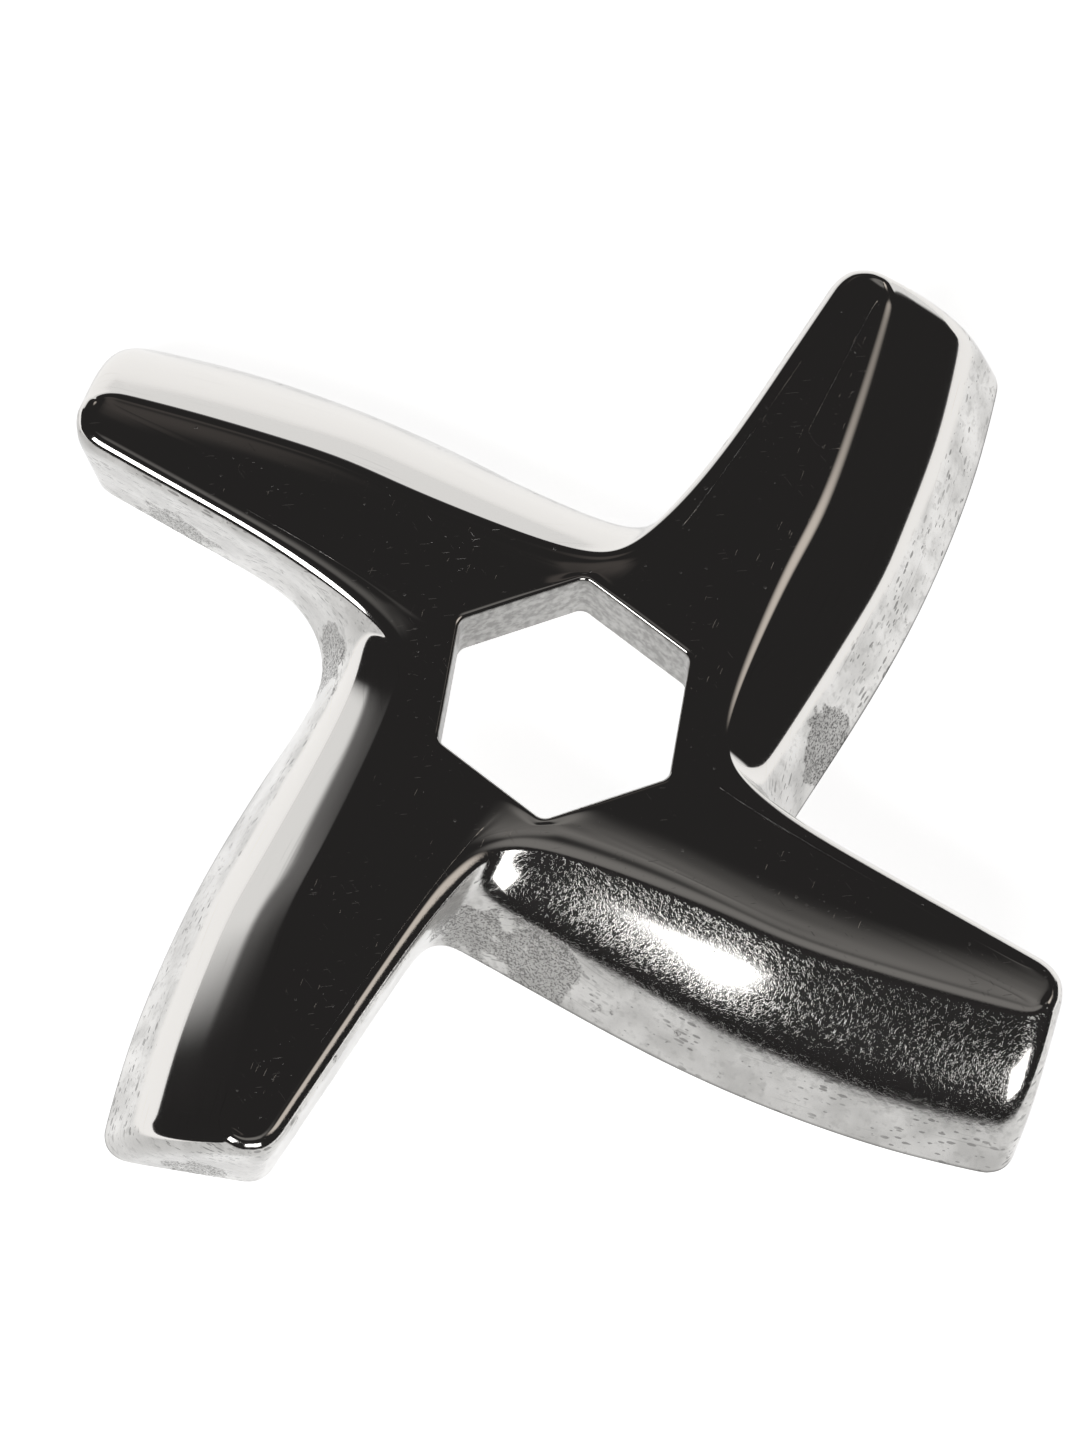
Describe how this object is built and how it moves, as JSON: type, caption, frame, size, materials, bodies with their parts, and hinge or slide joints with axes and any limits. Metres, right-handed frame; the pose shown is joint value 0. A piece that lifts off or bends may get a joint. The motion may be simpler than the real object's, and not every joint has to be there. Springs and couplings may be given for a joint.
{
  "type": "meat grinder knife",
  "caption": "Cast pinwheel cutting knife for a meat grinder, with scooped arms, a flat cutting face and a hexagonal drive hole through its hub.",
  "frame": {"origin": "centre of the bounding box at the cutting face, on the drive axis", "axes": "+Z along the drive axis, away from the cutting face; one arm runs along +X with its scooped side towards -Y"},
  "size_m": [0.0526, 0.0526, 0.0058],
  "materials": {
    "knife_steel": "cast steel polished to a mirror on the upper side, with fine pits and grinding grain on the flanks"
  },
  "bodies": {
    "root": {"knife": "knife_steel"}
  },
  "joints": []
}
